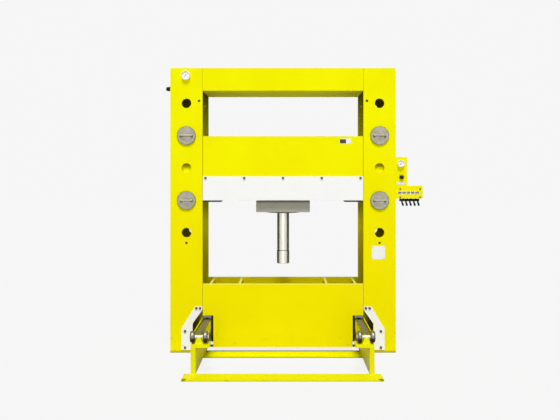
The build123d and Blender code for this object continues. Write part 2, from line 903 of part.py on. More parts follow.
def valve_bank():
    """Five valve sections side by side behind the panel, each with a forked boss for its lever."""
    y0 = front + panel_thickness
    y1 = y0 + valve_depth
    z0 = lever_pivot_z + lever_boss / 2 + valve_above_boss
    z1 = z0 + valve_height
    body = block(lever_x[0] - lever_pitch / 2, lever_x[-1] + lever_pitch / 2, y0, y1, z0, z1)
    seam_half = valve_seam_width / 2
    for x in lever_x[1:]:
        seam = x - lever_pitch / 2
        body -= block(seam - seam_half, seam + seam_half, y0 - 1, y0 + valve_seam_depth, z0 - 1, z1 + 1)
    y_near = lever_pivot_y - fork_half_depth
    y_far = lever_pivot_y + fork_half_depth
    reach = lever_boss / 2 + lever_side_play
    for x in lever_x:
        for side in (-1, 1):
            inner = x + side * reach
            outer = inner + side * fork_thickness
            body += block(inner, outer, y_near, y_far, lever_pivot_z - fork_below_pivot, z0)
        pin_reach = reach + fork_thickness / 2
        body += rod_x(x - pin_reach, x + pin_reach, lever_pivot_y, lever_pivot_z, lever_pin)
    return body


def lever_knob():
    """The round knob at the end of a lever, turned about Z."""
    r = lever_grip / 2
    turns = [math.radians(30 * i) for i in range(7)]
    profile = [(r * math.sin(turn), -r * math.cos(turn)) for turn in turns]
    return revolve(Plane.XZ * make_face(Polyline(*profile, close=True)), axis=Axis.Z)


def valve_lever(x):
    """A hand lever that hangs with a slant to the right, with a ball grip and its own pivot boss."""
    boss = rod_x(x - lever_boss / 2, x + lever_boss / 2, lever_pivot_y, lever_pivot_z, lever_boss)
    stick = rod_z(-lever_length, 0, lever_rod) + Pos(0, 0, -lever_length) * lever_knob()
    stick = Pos(x, lever_pivot_y, lever_pivot_z) * Rot(0, -lever_slant, 0) * stick
    bore = rod_x(x - lever_boss, x + lever_boss, lever_pivot_y, lever_pivot_z, lever_pin + 2 * bush_gap)
    return boss + stick - bore


def blank_plates():
    """Four thin plates: on the bolster, on the right upright and two on the panel."""
    bolster_tag_x = half_daylight - bolster_tag_edge[0] - bolster_tag[0]
    bolster_tag_z = bolster_top - bolster_tag_edge[1] - bolster_tag[1]
    corners = [
        (bolster_tag_x, bolster_tag_z),
        (pin_x + upright_tag_shift - upright_tag[0] / 2, upright_tag_rise),
        (panel_left + strip_tag_edge[0], panel_bottom + strip_tag_edge[1]),
        (panel_left + small_tag_edge[0], panel_step + small_tag_edge[1]),
    ]
    sizes = [bolster_tag, upright_tag, strip_tag, small_tag]
    plates = []
    for (x, z), (wide, high) in zip(corners, sizes):
        plates.append(block(x, x + wide, front - plate_skin, front, z, z + high))
    return plates


def side_fitting():
    """A small tapered fitting on the outside of the left upright."""
    z = crosshead_bottom + fitting_rise
    y = front + fitting_set_back
    cone = Rot(0, 90, 0) * Cone(fitting_tip / 2, fitting_root / 2, fitting_length)
    cone = Pos(-frame_edge - fitting_length / 2, y, z) * cone
    return cone + rod_x(-frame_edge - fitting_flange_thickness, -frame_edge, y, z, fitting_flange)


def write_frame():
    """Uprights, crosshead and floor ties."""
    save_pair("upright_front_plate", upright_front_plate())
    save("upright_rear_plates", *both_sides(upright_rear_plate()))
    save("upright_side_plates", *both_sides(upright_side_plate()))
    save("upright_top_plates", *both_sides(upright_top_plate()))
    save("crosshead", crosshead())
    save("rear_tie", rear_tie())
    save("foot_bar", foot_bar())
    save("floor_ties", *floor_ties())
    save_pair("rail", *rail())
    save("toe_plates", *both_sides(toe_plate()))


def write_rollers():
    """End rollers, their brackets and axles."""
    save_pair("roller_bracket", *roller_bracket())
    save_pair("inner_roller", end_roller(end_inner_x))
    save_pair("outer_roller", end_roller(end_outer_x))


def write_bolster():
    """Bolster, cover, stops and the four pins."""
    save("bolster_front_plate", bolster_front_plate())
    save("bolster_rear_plate", bolster_rear_plate())
    beam = bolster_beam()
    save("bolster_beams", beam, mirror(beam, about=Plane.XZ))
    save("bolster_end_plates", *both_sides(bolster_end_plate_right()))
    save("bolster_cover", cover_plate())
    save("travel_stops", *both_sides(travel_stop()))
    for level, word in ((1, "lower"), (3, "upper")):
        save_pair(f"{word}_pin", bolster_pin(level))


def write_workhead():
    """Workhead, cylinder and ram."""
    save("workhead_block", workhead_block())
    save("cylinder_barrel", cylinder_barrel())
    save("carriage_plate", carriage_plate())
    save("gland_ring", gland_ring())
    save("ram_rod", ram_rod())
    save("piston", piston())
    save("ram_nose", ram_nose())


def write_table():
    """Table plates, runners and wheels."""
    save("table_front_plate", table_face(table_front, table_front + table_plate))
    save("table_rear_plate", table_face(table_rear - table_plate, table_rear))
    save("table_cross_plates", *table_cross_plates())
    save("table_guide_plates", *both_sides(table_guide_plate()))
    runner = table_runner()
    save("table_runners", *[mirrored(p) for p in runner], *runner)
    for y, word in zip(wheel_places, ("front", "rear")):
        save_pair(f"{word}_table_wheel", table_wheel(y))
    save("table_wheel_pins", *table_wheel_pins())


def write_controls():
    """Gauges, panel, valves and small plates."""
    places = gauge_places()
    save("gauge_cases", *[gauge_case(*p) for p in places])
    save("gauge_dials", *[gauge_dial_disc(*p) for p in places])
    save("left_gauge_needle", gauge_needle(*places[0]))
    save("right_gauge_needle", gauge_needle(*places[1]))
    save("control_panel", control_panel())
    save("valve_bank", valve_bank())
    for i, x in enumerate(lever_x):
        save(f"valve_lever_{i + 1}", valve_lever(x))
    save("pressure_knob", pressure_knob())
    save("blank_plates", *blank_plates())
    save("side_fitting", side_fitting())


def write_bolts():
    """Every bolt of the cover, toe plates and panel."""
    bolts = [bolt(x, z, front - cover_thickness) for x, z in cover_bolt_places()]
    for x, z in toe_bolt_places():
        bolts.extend(both_sides(bolt(x, z, front - toe_thickness)))
    bolts.extend(panel_bolt(x, z) for x, z in panel_bolt_places())
    save("hex_bolts", *bolts)


os.makedirs("parts", exist_ok=True)
write_frame()
write_rollers()
write_bolster()
write_workhead()
write_table()
write_controls()
write_bolts()
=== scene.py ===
import math

import bpy
import numpy as np
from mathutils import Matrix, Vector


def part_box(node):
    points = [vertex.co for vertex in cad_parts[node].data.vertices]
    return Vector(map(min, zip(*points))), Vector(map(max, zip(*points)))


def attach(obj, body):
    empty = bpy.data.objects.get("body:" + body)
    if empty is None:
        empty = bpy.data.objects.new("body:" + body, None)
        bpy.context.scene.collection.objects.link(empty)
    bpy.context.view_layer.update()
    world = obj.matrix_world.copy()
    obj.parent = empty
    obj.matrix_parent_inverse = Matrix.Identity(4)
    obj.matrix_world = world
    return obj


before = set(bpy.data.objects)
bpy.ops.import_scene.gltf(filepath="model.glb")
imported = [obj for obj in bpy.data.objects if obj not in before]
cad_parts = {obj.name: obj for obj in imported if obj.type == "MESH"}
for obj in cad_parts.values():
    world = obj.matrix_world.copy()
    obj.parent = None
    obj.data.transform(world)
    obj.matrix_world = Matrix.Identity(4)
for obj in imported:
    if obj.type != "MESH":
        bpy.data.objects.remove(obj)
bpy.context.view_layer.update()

# Sizes read from the frame, in metres
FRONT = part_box("left_upright_front_plate")[0][1]
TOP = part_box("crosshead")[1][2]
HALF_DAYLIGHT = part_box("crosshead")[1][0]
FRAME_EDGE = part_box("upright_side_plates")[1][0]
BLOCK_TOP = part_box("workhead_block")[1][2]
NOSE_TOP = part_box("ram_nose")[1][2]
RAIL_LOW, RAIL_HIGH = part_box("right_rail")
TABLE_LOW, TABLE_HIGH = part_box("table_front_plate")
TABLE_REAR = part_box("table_rear_plate")[0][1]
FOOT_LOW, FOOT_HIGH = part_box("foot_bar")
CASE_LOW, CASE_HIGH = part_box("gauge_cases")
TAG_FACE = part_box("blank_plates")[0][1]
ROLLER_LOW, ROLLER_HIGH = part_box("right_outer_roller")
AXLE_Y, AXLE_Z = (ROLLER_LOW[1] + ROLLER_HIGH[1]) / 2, (ROLLER_LOW[2] + ROLLER_HIGH[2]) / 2
BRACKET_X = (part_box("right_inner_roller")[0][0] + ROLLER_HIGH[0]) / 2
PIN_NAMES = ("left_lower_pin", "left_upper_pin", "right_lower_pin", "right_upper_pin")
PIN_CENTRES = [((low[0] + high[0]) / 2, (low[2] + high[2]) / 2) for low, high in map(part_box, PIN_NAMES)]
PIN_X, PIN_LOW_Z, PIN_HIGH_Z = PIN_CENTRES[2][0], PIN_CENTRES[2][1], PIN_CENTRES[3][1]

# Plates, edges and radii of the part that no box gives, in metres
FRAME_PLATE, SIDE_PLATE, TOP_PLATE, TABLE_PLATE, FLOOR_PLATE = 0.030, 0.025, 0.020, 0.025, 0.012
CROSSHEAD_HEIGHT = 0.240
TIE_FRONT, TIE_REAR = FRONT - 0.224, FRONT + 0.051
PIN_HEAD_FRONT = FRONT - 0.016
HANDLE_FOOT = 0.058
RAIL_OUTER = RAIL_HIGH[0] - 0.014
RAIL_INNER = RAIL_OUTER - 0.046
RAIL_TOP, RAIL_TOP_PLATE = RAIL_HIGH[2] - 0.024, 0.028
LUG_REAR = -1.038
END_PLATE_LENGTH, END_PLATE_TOP = 0.150, 0.287
AXLE_RADIUS, COLLAR_RADIUS, BRACKET_HALF = 0.014, 0.020, 0.038
ANCHOR_INSET = 0.022
INNER_CROSS_X, OUTER_CROSS_X = 0.467, 0.778
INNER_CROSS_FOOT, OUTER_CROSS_FOOT = 0.062, 0.398
FRAME_GAUGE, PANEL_GAUGE = 0.095, 0.074
DIAL_START, DIAL_SWEEP, DIAL_MARKS = 225, 270, 21
STRIP_Z, FIRST_SIGN_X, SIGN_PITCH = 1.697, 1.238, 0.0455
LEVERS, LEVER_SLANT = 5, math.radians(18)

# Camera, worked out from the vanishing point of the rails and the size of one pixel
IMAGE_WIDTH, IMAGE_HEIGHT = 560, 420
MM_PER_PIXEL = 10.6
VANISHING_X, VANISHING_Y = 286.0, 180.0
FRAME_CENTRE_X = 283.0
FLOOR_Y = 352.7
CAMERA_DISTANCE = 7.7

# Finishes, as sRGB hex; the low and floor yellows are darker copies of the yellow that paint shade
YELLOW = "#F6F304"
# Painted shade: the colour the yellow fades to lower down
YELLOW_SHADED_LOW = "#F1E403"
# Painted shade: a darker copy of the yellow that holds down the stronger light on the floor pieces' tops
YELLOW_FLOOR_SHADED = "#E9E608"
YELLOW_RAIL = "#E3DF0B"
WHITE_ENAMEL = "#F2F2F1"
GREY_ENAMEL = "#A5A397"
BACKGROUND = "#F6F6F6"


def linear(hex_colour):
    """Turn an sRGB hex colour into the linear values that a shader takes."""
    channels = [int(hex_colour[i:i + 2], 16) / 255 for i in (1, 3, 5)]
    return [c / 12.92 if c <= 0.04045 else ((c + 0.055) / 1.055) ** 2.4 for c in channels] + [1.0]


def add_node(tree, kind, settings=None, **links):
    """Add one shader node, set its properties and sockets, and link sockets given as outputs."""
    node = tree.nodes.new(kind)
    for key, value in (settings or {}).items():
        setattr(node, key, value)
    for key, value in links.items():
        socket = node.inputs[int(key[1:])] if key[1:].isdigit() else node.inputs[key.replace("_", " ")]
        if isinstance(value, bpy.types.NodeSocket):
            tree.links.new(value, socket)
        else:
            socket.default_value = value
    return node


def new_material(name):
    """An empty material with its output and a Principled shader joined up."""
    material = bpy.data.materials.new(name)
    material.use_nodes = True
    tree = material.node_tree
    tree.nodes.clear()
    shader = add_node(tree, "ShaderNodeBsdfPrincipled")
    output = add_node(tree, "ShaderNodeOutputMaterial")
    tree.links.new(shader.outputs[0], output.inputs[0])
    return material, tree, shader


def object_noise(tree, millimetres, detail=3.0, stretch=(1.0, 1.0, 1.0), roughness=0.55):
    """Noise in object space whose blobs are about so many millimetres wide."""
    place = add_node(tree, "ShaderNodeTexCoord").outputs["Object"]
    mapped = add_node(tree, "ShaderNodeMapping", i0=place, Scale=stretch).outputs[0]
    return add_node(
        tree, "ShaderNodeTexNoise",
        Vector=mapped, Scale=1000.0 / millimetres, Detail=detail, Roughness=roughness,
    ).outputs[0]


def ramp(tree, value, low, high, start=0.0, end=1.0):
    """Map a value between two levels onto a range, held at its ends."""
    return add_node(
        tree, "ShaderNodeMapRange", {"clamp": True, "interpolation_type": "SMOOTHSTEP"},
        i0=value, i1=low, i2=high, i3=start, i4=end,
    ).outputs[0]


def mix_colour(tree, share, first, second):
    """Mix two colours by a share."""
    node = add_node(tree, "ShaderNodeMix", {"data_type": "RGBA"}, i0=share, i6=first, i7=second)
    return node.outputs[2]


def calculate(tree, operation, first, second, held=False):
    """One sum on two values, held between zero and one where held is true."""
    settings = {"operation": operation, "use_clamp": held}
    return add_node(tree, "ShaderNodeMath", settings, i0=first, i1=second).outputs[0]


def multiply(tree, first, second):
    """Multiply two values."""
    return calculate(tree, "MULTIPLY", first, second)


def bumped(tree, shader, height, strength, distance, edge=0.0):
    """Give a shader small relief from a height, over edges rounded by the bevel radius."""
    node = add_node(tree, "ShaderNodeBump", Height=height, Strength=strength, Distance=distance)
    if edge:
        rounded = add_node(tree, "ShaderNodeBevel", {"samples": 4}, Radius=edge).outputs[0]
        tree.links.new(rounded, node.inputs["Normal"])
    tree.links.new(node.outputs[0], shader.inputs["Normal"])


def position(tree):
    """The object-space X, Y and Z of the point being shaded."""
    place = add_node(tree, "ShaderNodeTexCoord").outputs["Object"]
    split = add_node(tree, "ShaderNodeSeparateXYZ", i0=place)
    return split.outputs[0], split.outputs[1], split.outputs[2]


def band(tree, value, low, high, soft):
    """One inside a band of values and zero outside, with soft edges."""
    rise = ramp(tree, value, low - soft, low + soft)
    fall = ramp(tree, value, high - soft, high + soft, 1.0, 0.0)
    return multiply(tree, rise, fall)


def near_line(tree, first, second, at_first, at_second, radius, soft=0.0006):
    """One within a radius of a line along an axis, given the two coordinates across that line."""
    away_first = calculate(tree, "SUBTRACT", first, at_first)
    away_second = calculate(tree, "SUBTRACT", second, at_second)
    flat = add_node(tree, "ShaderNodeCombineXYZ", i0=away_first, i1=away_second).outputs[0]
    distance = add_node(tree, "ShaderNodeVectorMath", {"operation": "LENGTH"}, i0=flat).outputs["Value"]
    return ramp(tree, distance, radius - soft, radius + soft, 1.0, 0.0)


def yellow_enamel(name, top=YELLOW, low=YELLOW_SHADED_LOW, wear=0.0, extra=None, gloss=0.3):
    """Two-pack machine enamel sprayed over rolled plate.

    It gives the eye a soft gloss, faint orange peel, cloudy depth of colour and dirt low down, with painted
    shade that darkens it from the top colour to the low colour lower down and again where it meets the floor.
    """
    material, tree, shader = new_material(name)
    x, y, z = position(tree)
    side = add_node(tree, "ShaderNodeMath", {"operation": "ABSOLUTE"}, i0=x).outputs[0]
    cloud = object_noise(tree, 420, detail=4)
    # Painted shade: from the top colour to the low colour as the height falls
    painted_height_shade = ramp(tree, z, 0.7, 2.6, 1.0, 0.0)
    base = mix_colour(tree, painted_height_shade, linear(top), linear(low))
    shade = ramp(tree, cloud, 0.35, 0.7, 0.0, 0.16)
    base = mix_colour(tree, shade, base, linear("#DDCB02"))
    spots = ramp(tree, object_noise(tree, 60, detail=6), 0.58, 0.75)
    grime = multiply(tree, spots, ramp(tree, z, 0.02, 0.35, 0.4, 0.0))
    base = mix_colour(tree, grime, base, linear("#8E7F25"))
    # Painted shade where a part meets the floor: its lowest centimetre darkens
    foot = ramp(tree, z, 0.001, FLOOR_PLATE - 0.0005, 0.6, 0.0)
    base = mix_colour(tree, foot, base, linear("#8F8500"))
    if wear:
        chips = ramp(tree, object_noise(tree, 26, detail=8, roughness=0.7), 0.66, 0.72)
        base = mix_colour(tree, multiply(tree, chips, wear), base, linear("#6F6A5A"))
    if extra:
        base = extra(tree, base, side, y, z)
    tree.links.new(base, shader.inputs["Base Color"])
    shader.inputs["Roughness"].default_value = 0.5
    shader.inputs["IOR"].default_value = 1.45
    shader.inputs["Specular IOR Level"].default_value = gloss
    shader.inputs["Specular Tint"].default_value = linear("#FFF000")
    peel = object_noise(tree, 9, detail=2)
    bumped(tree, shader, peel, 0.06, 0.0006, edge=0.003)
    return material


def seam_and_foot_shade(tree, base, side, y, z):
    """The thin filled seam where the crosshead meets each upright, and painted shade at the upright's foot
    along the floor.
    """
    line = band(tree, side, HALF_DAYLIGHT - 0.003, HALF_DAYLIGHT + 0.003, 0.002)
    line = multiply(tree, line, ramp(tree, z, TOP - CROSSHEAD_HEIGHT - 0.002, TOP - CROSSHEAD_HEIGHT + 0.001))
    line = multiply(tree, line, ramp(tree, y, FRONT + 0.001, FRONT + 0.003, 0.4, 0.0))
    base = mix_colour(tree, line, base, linear("#8C8600"))
    # Painted shade: the upright darkens over its lowest few centimetres, where it meets the floor
    return mix_colour(tree, ramp(tree, z, 0.008, 0.034, 0.6, 0.0), base, linear("#8F8500"))


def painted_channel_shade(tree, base, side, y, z):
    """Painted shade inside an upright, darker deeper in from its open inner side, and painted shadow under
    the crosshead and round the bolster's lower edge.
    """
    skin, inner_side, inner_top = 0.0002, FRAME_EDGE - SIDE_PLATE, TOP - TOP_PLATE
    inner_front, inner_rear = FRONT + FRAME_PLATE, -FRONT - FRAME_PLATE
    within = multiply(
        tree, ramp(tree, side, inner_side + skin, inner_side + 2 * skin, 1.0, 0.0),
        ramp(tree, z, inner_top + skin, inner_top + 2 * skin, 1.0, 0.0),
    )
    within = multiply(tree, within, band(tree, y, inner_front + 0.0005, inner_rear + 0.0005, 0.0003))
    # Painted shade: darker deeper into the channel, away from its open side
    deep_shade = multiply(tree, ramp(tree, side, HALF_DAYLIGHT + 0.070, HALF_DAYLIGHT + 0.130), within)
    base = mix_colour(tree, deep_shade, base, linear("#7D7606"))
    # Painted shadow under the crosshead and round the bolster's lower edge
    shadow_under_beams = calculate(tree, "ADD", ramp(tree, z, 2.20, 2.78), band(tree, z, 1.46, 1.66, 0.16), held=True)
    return mix_colour(tree, multiply(tree, multiply(tree, shadow_under_beams, within), 0.85), base, linear("#6B6400"))


def hole_shade(tree, base, side, y, z):
    """Painted shadow on the bolster beam's face, over its upper part where it shows through the empty pin
    hole.
    """
    middle = (PIN_LOW_Z + PIN_HIGH_Z) / 2
    upper = ramp(tree, z, middle - 0.012, middle + 0.034)
    spot = multiply(tree, near_line(tree, side, z, PIN_X, middle, 0.060), upper)
    return mix_colour(tree, multiply(tree, spot, 0.75), base, linear("#5C5500"))


def notch_shade_and_edge_highlights(tree, base, side, y, z):
    """Painted shade beside the notches and towards the table's bottom, and painted highlights along the
    table's top edges, the cross plates' tops and the table's ends.
    """
    # Painted shade: darker towards each notch and lower down
    near = multiply(tree, ramp(tree, side, 0.56, 0.739), ramp(tree, z, 0.50, 0.15, 1.0, 0.0))
    near = multiply(tree, near, ramp(tree, z, 0.15, 0.45, 1.0, 0.0))
    base = mix_colour(tree, multiply(tree, near, 0.75), base, linear("#BDB000"))
    # Painted shade: darker towards the table's bottom
    base = mix_colour(tree, ramp(tree, z, 0.062, 0.26, 0.2, 0.0), base, linear("#C9BE05"))
    # Painted highlights on the table's top edge, the cross plates' tops and the table's end edges
    highlight_rim = ramp(tree, z, TABLE_HIGH[2] - 0.0175, TABLE_HIGH[2] - 0.0165, 1.0, 0.0)
    between = band(tree, y, TABLE_LOW[1] + TABLE_PLATE + 0.0005, TABLE_LOW[1] + 0.5445, 0.0004)
    cross = multiply(tree, ramp(tree, z, TABLE_HIGH[2] - 0.0135, TABLE_HIGH[2] - 0.0125), between)
    top = ramp(tree, z, TABLE_HIGH[2] - 0.006, TABLE_HIGH[2] - 0.002)
    end = multiply(tree, ramp(tree, side, TABLE_HIGH[0] - 0.005, TABLE_HIGH[0] - 0.002, 0.0, 0.7), highlight_rim)
    for edge in (cross, top, end):
        base = mix_colour(tree, multiply(tree, edge, 0.8), base, linear("#FFFC84"))
    return base


def rail_track_and_shade(tree, base, side, y, z):
    """A darker scuffed tone over the rail's top with a grey lane where the table's wheels run, a painted
    shadow line inside the outer lip, painted shade on the web's inner face under the top plate, and that face
    greyer towards the bottom.
    """
    level = band(tree, z, RAIL_TOP - 0.0005, RAIL_TOP + 0.0005, 0.0004)
    scuffs = ramp(tree, object_noise(tree, 40, detail=7, stretch=(1, 0.3, 1), roughness=0.65), 0.34, 0.62)
    top_tone = mix_colour(tree, scuffs, linear("#8F851C"), linear("#5F5B3A"))
    base = mix_colour(tree, level, base, top_tone)
    lane = band(tree, side, RAIL_INNER - 0.026, RAIL_INNER + 0.006, 0.003)
    base = mix_colour(tree, multiply(tree, lane, level), base, linear("#6E6A58"))
    # Painted shadow: a dark line on the rail's top just inside the outer lip
    lip_shadow_line = multiply(tree, band(tree, side, RAIL_OUTER - 0.0160, RAIL_OUTER - 0.0085, 0.001), level)
    base = mix_colour(tree, lip_shadow_line, base, linear("#2B2912"))
    inside = ramp(tree, side, RAIL_INNER - 0.0003, RAIL_INNER + 0.0003, 1.0, 0.0)
    web = multiply(tree, inside, ramp(tree, z, 0.25, 0.26, 1.0, 0.0))
    # The web's inner face turns greyer towards the bottom
    greyer_low_web = multiply(tree, web, ramp(tree, z, 0.02, 0.20, 0.75, 0.0))
    base = mix_colour(tree, greyer_low_web, base, linear("#8B8752"))
    # Painted shade on the web's inner face, darker just under the top plate
    shade_under_top_plate = multiply(tree, web, ramp(tree, z, 0.19, 0.26, 0.0, 0.6))
    base = mix_colour(tree, shade_under_top_plate, base, linear("#6A5C00"))
    behind = ramp(tree, y, LUG_REAR - 0.0005, LUG_REAR, 1.0, 0.0)
    lug = multiply(tree, ramp(tree, z, RAIL_TOP + 0.002, RAIL_TOP + 0.004), behind)
    return mix_colour(tree, lug, base, linear("#8F8D78"))


def bright_axle(tree, base, side, y, z):
    """The bare ground axle and its collars, in the same node as the painted bracket."""
    rod = near_line(tree, y, z, AXLE_Y, AXLE_Z, AXLE_RADIUS + 0.0005)
    foot = band(tree, side, BRACKET_X - 0.045, BRACKET_X + 0.045, 0.001)
    beyond = calculate(tree, "SUBTRACT", 1.0, foot)
    collar = multiply(tree, near_line(tree, y, z, AXLE_Y, AXLE_Z, COLLAR_RADIUS + 0.0006), beyond)
    both = calculate(tree, "MAXIMUM", rod, collar)
    return mix_colour(tree, both, base, linear("#F4F2E4"))


def anchor_rust_and_tie_shade(tree, base, side, y, z):
    """Rust and cement dust round the two floor anchor holes, a painted shadow line along the floor ties' rear
    edge, and painted shade on the ties' front edges near the floor.
    """
    hole_x, hole_y = FOOT_HIGH[0] - ANCHOR_INSET, FOOT_LOW[1] + ANCHOR_INSET
    ring = near_line(tree, side, y, hole_x, hole_y, 0.026, soft=0.006)
    base = mix_colour(tree, multiply(tree, ring, 0.8), base, linear("#5E5518"))
    # Painted shadow: a dark line along the floor ties' rear edge, where the table overhangs them
    edge = band(tree, y, TIE_REAR - 0.040, TIE_REAR + 0.004, 0.008)
    base = mix_colour(tree, multiply(tree, edge, 0.7), base, linear("#7A7100"))
    # Painted shade on the ties' front edges close to the floor
    low = multiply(tree, ramp(tree, y, -0.70, -0.60), ramp(tree, z, 0.006, FLOOR_PLATE - 0.0005, 0.7, 0.0))
    return mix_colour(tree, low, base, linear("#7F7600"))


def shaded_block(tree, base, z):
    """Painted shadow on the workhead's upper edge, close under the bolster."""
    return mix_colour(tree, ramp(tree, z, BLOCK_TOP - 0.030, BLOCK_TOP - 0.006), base, linear("#5D5A4E"))


def sprayed_enamel(name, colour, dirt, roughness=0.35, dirt_share=0.35, extra=None):
    """Plain sprayed enamel on plate with a little handling dirt, flatter than the yellow."""
    material, tree, shader = new_material(name)
    marks = ramp(tree, object_noise(tree, 90, detail=6), 0.5, 0.75, 0.0, dirt_share)
    base = mix_colour(tree, marks, linear(colour), linear(dirt))
    if extra:
        base = extra(tree, base, position(tree)[2])
    tree.links.new(base, shader.inputs["Base Color"])
    shader.inputs["Roughness"].default_value = roughness
    shader.inputs["IOR"].default_value = 1.5
    bumped(tree, shader, object_noise(tree, 8, detail=2), 0.05, 0.0005, edge=0.002)
    return material


def turned_steel(name, colour, stain, roughness, stretch, spacing=1.6, extra=None):
    """Carbon steel off the lathe.

    It gives the eye fine tool lines round the axis and a dull oily film that breaks up the shine.
    """
    material, tree, shader = new_material(name)
    film = ramp(tree, object_noise(tree, 55, detail=5), 0.4, 0.7, 0.0, 0.5)
    base = mix_colour(tree, film, linear(colour), linear(stain))
    if extra:
        x, y, z = position(tree)
        side = add_node(tree, "ShaderNodeMath", {"operation": "ABSOLUTE"}, i0=x).outputs[0]
        base = extra(tree, base, side, y, z)
    tree.links.new(base, shader.inputs["Base Color"])
    shader.inputs["Metallic"].default_value = 1.0
    rough = ramp(tree, object_noise(tree, 30, detail=5), 0.3, 0.75, roughness - 0.06, roughness + 0.1)
    tree.links.new(rough, shader.inputs["Roughness"])
    lines = object_noise(tree, spacing, detail=1, stretch=stretch)
    bumped(tree, shader, lines, 0.12, 0.0002, edge=0.0015)
    return material


def handled_head(tree, base, side, y, z):
    """A bar handle rubbed a little brighter by hands, painted shadow just under each foot of the handle, and
    painted shade on a ring round the head's edge.
    """
    across = band(tree, side, PIN_X - 0.066, PIN_X + 0.066, 0.003)
    bar = multiply(tree, ramp(tree, y, PIN_HEAD_FRONT - 0.006, PIN_HEAD_FRONT - 0.004, 1.0, 0.0), across)
    base = mix_colour(tree, bar, base, linear("#9A978A"))
    face = ramp(tree, y, PIN_HEAD_FRONT - 0.003, PIN_HEAD_FRONT - 0.001)
    for level in (PIN_LOW_Z, PIN_HIGH_Z):
        for foot in (PIN_X - HANDLE_FOOT, PIN_X + HANDLE_FOOT):
            # Painted shadow just under each foot of the handle
            spot = near_line(tree, side, z, foot, level - 0.010, 0.013, soft=0.005)
            foot_shadow = multiply(tree, multiply(tree, spot, face), 0.7)
            base = mix_colour(tree, foot_shadow, base, linear("#37352B"))
        # Painted shade on a ring round the head's edge
        rim = near_line(tree, side, z, PIN_X, level, 0.0935, soft=0.004)
        near = near_line(tree, side, z, PIN_X, level, 0.110)
        ring = calculate(tree, "SUBTRACT", near, rim, held=True)
        base = mix_colour(tree, multiply(tree, ring, 0.75), base, linear("#6C6848"))
    return base


def lower_half_shade(tree, base, side, y, z):
    """Painted shade: the rollers' lower half turns dark brown as if lit from above, and the upper half keeps
    the steel's colour.
    """
    shaded_half = ramp(tree, z, AXLE_Z - 0.020, AXLE_Z + 0.010, 1.0, 0.0)
    return mix_colour(tree, shaded_half, base, linear("#3A2A1E"))


def chromed_rod(name, joint=False):
    """Hard chrome on a ground rod.

    It gives the eye a bright skin with hair-fine bands round the rod and a trace of oil that softens it.
    """
    material, tree, shader = new_material(name)
    film = ramp(tree, object_noise(tree, 70, detail=4, stretch=(1, 1, 0.4)), 0.45, 0.75, 0.0, 0.35)
    base = mix_colour(tree, film, linear("#EAE8DE"), linear("#C4C0B0"))
    if joint:
        gap = band(tree, position(tree)[2], NOSE_TOP - 0.001, NOSE_TOP + 0.006, 0.0008)
        base = mix_colour(tree, gap, base, linear("#2A2822"))
    tree.links.new(base, shader.inputs["Base Color"])
    shader.inputs["Metallic"].default_value = 1.0
    shader.inputs["Roughness"].default_value = 0.33
    lines = object_noise(tree, 3, detail=1, stretch=(0.02, 0.02, 1.0))
    bumped(tree, shader, lines, 0.08, 0.0002, edge=0.001)
    return material


def moulded_black(name, colour="#0E0E0F", roughness=0.38, specular=0.5):
    """Phenolic or enamelled black: a smooth skin with a soft gloss and faint dust."""
    material, tree, shader = new_material(name)
    dust = ramp(tree, object_noise(tree, 25, detail=5), 0.5, 0.8, 0.0, 0.25)
    base = mix_colour(tree, dust, linear(colour), linear("#2A2926"))
    tree.links.new(base, shader.inputs["Base Color"])
    shader.inputs["Roughness"].default_value = roughness
    shader.inputs["IOR"].default_value = 1.5
    shader.inputs["Specular IOR Level"].default_value = specular
    bumped(tree, shader, object_noise(tree, 5, detail=2), 0.05, 0.0003, edge=0.001)
    return material


def printed_dial(name):
    """White lacquered dial plate: flat, very slightly warm, with the faintest mottling."""
    material, tree, shader = new_material(name)
    mottle = ramp(tree, object_noise(tree, 12, detail=3), 0.4, 0.7, 0.0, 0.2)
    base = mix_colour(tree, mottle, linear("#FBFBF8"), linear("#F1F0EB"))
    tree.links.new(base, shader.inputs["Base Color"])
    shader.inputs["Roughness"].default_value = 0.45
    return material


def window_glass(name):
    """A thin acrylic gauge window: nearly invisible, with one soft reflection."""
    material, tree, shader = new_material(name)
    shader.inputs["Base Color"].default_value = (1, 1, 1, 1)
    shader.inputs["Alpha"].default_value = 0.08
    shader.inputs["Roughness"].default_value = 0.08
    shader.inputs["IOR"].default_value = 1.49
    return material


def outward(points, faces):
    """The faces of one closed form, turned round if its signed volume is negative.

    The volume is the sum over each face's corner fan of a . (b x c) / 6.
    """
    total = 0.0
    for size in {len(face) for face in faces}:
        fan = np.array([face for face in faces if len(face) == size])
        first = points[fan[:, 0]]
        for k in range(1, size - 1):
            total += np.einsum("ij,ij->i", first, np.cross(points[fan[:, k]], points[fan[:, k + 1]])).sum()
    return faces if total >= 0 else [tuple(reversed(face)) for face in faces]


